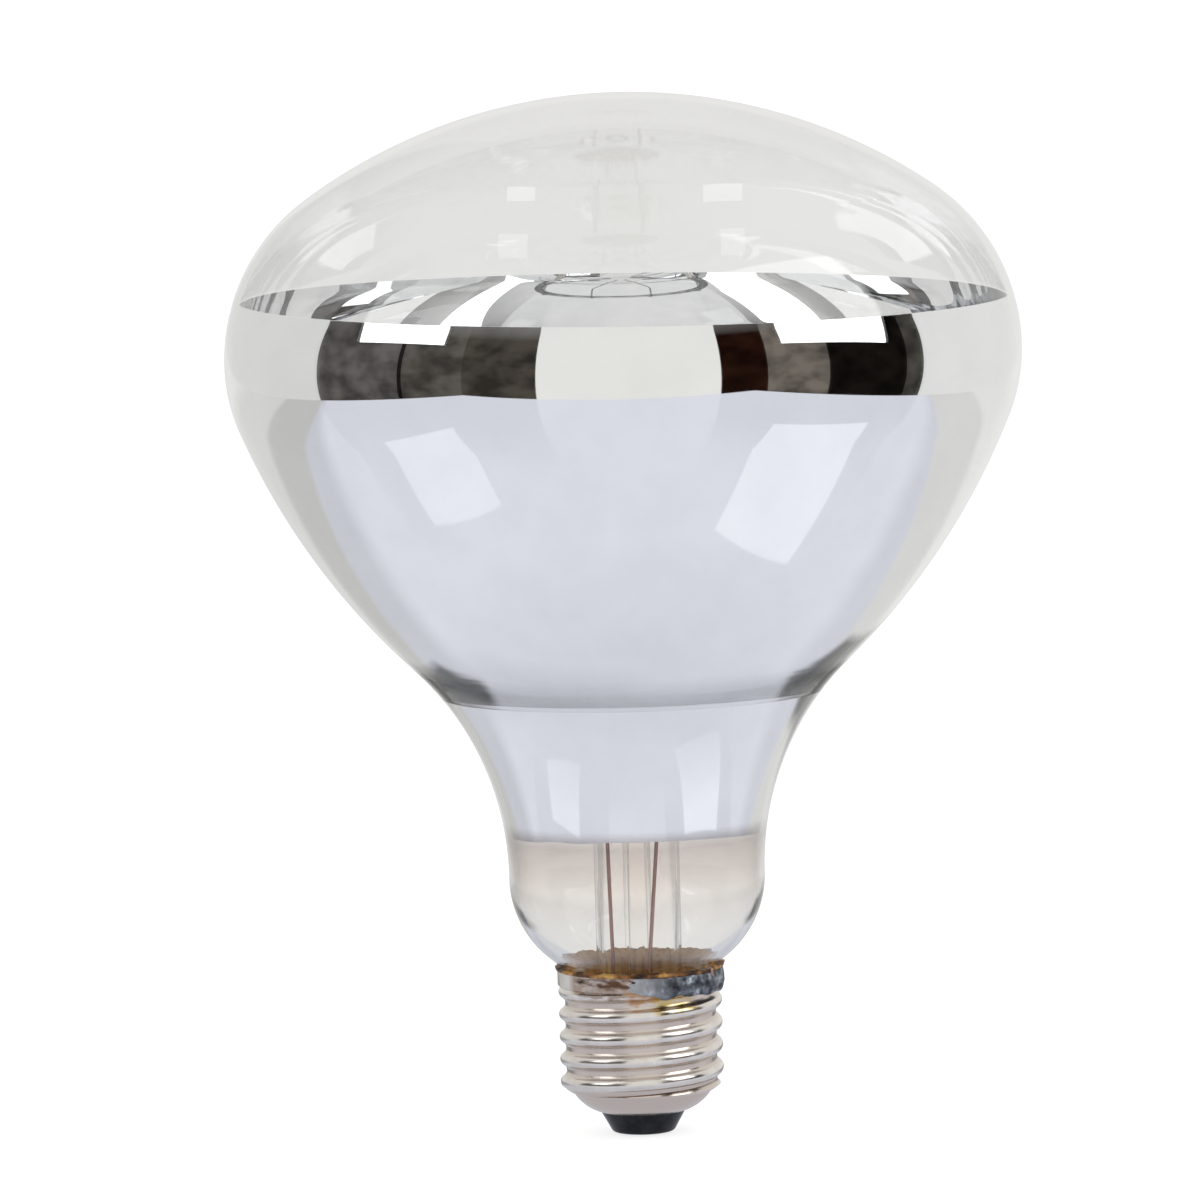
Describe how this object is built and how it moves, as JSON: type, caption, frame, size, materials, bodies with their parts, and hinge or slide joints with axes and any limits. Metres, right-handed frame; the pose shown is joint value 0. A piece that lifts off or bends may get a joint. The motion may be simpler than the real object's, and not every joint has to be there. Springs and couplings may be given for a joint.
{
  "type": "infrared heat lamp bulb",
  "caption": "Reflector heat lamp with a mushroom-shaped glass bulb, silvered sides, a clear domed face, a ring filament on a glass mount and a nickel screw cap.",
  "frame": {"origin": "centre of the centre contact's flat face, at the foot of the cap", "axes": "+Z along the lamp's axis from the cap to the crown of the bulb; -Y is the side seen in the picture"},
  "size_m": [0.127, 0.127, 0.1668],
  "materials": {
    "clear_glass": "blown clear soda-lime glass",
    "silvering": "aluminium evaporated on the inside of the bulb",
    "tungsten": "coiled drawn wire",
    "molybdenum": "drawn wire",
    "nickel_wire": "drawn wire",
    "copper_wire": "copper-clad wire, dulled by heat",
    "nickel_plate": "nickel-plated rolled brass sheet, satin",
    "cement": "cured brown basing cement",
    "solder": "dull grey soft solder",
    "black_glass": "cast black glass",
    "contact_brass": "stamped sheet"
  },
  "bodies": {
    "root": {"glass_envelope": "clear_glass", "reflector_coating": "silvering", "glass_stem": "clear_glass", "exhaust_tube": "clear_glass", "button_rod": "clear_glass", "filament": "tungsten", "support_wire_1": "molybdenum", "support_wire_2": "molybdenum", "support_wire_3": "molybdenum", "support_wire_4": "molybdenum", "inner_lead_left": "nickel_wire", "inner_lead_right": "nickel_wire", "seal_wire_left": "copper_wire", "seal_wire_right": "copper_wire", "outer_lead_centre": "copper_wire", "outer_lead_side": "copper_wire", "cap_shell": "nickel_plate", "basing_cement": "cement", "side_solder": "solder", "cap_insulator": "black_glass", "centre_contact": "contact_brass", "contact_solder": "solder"}
  },
  "joints": []
}
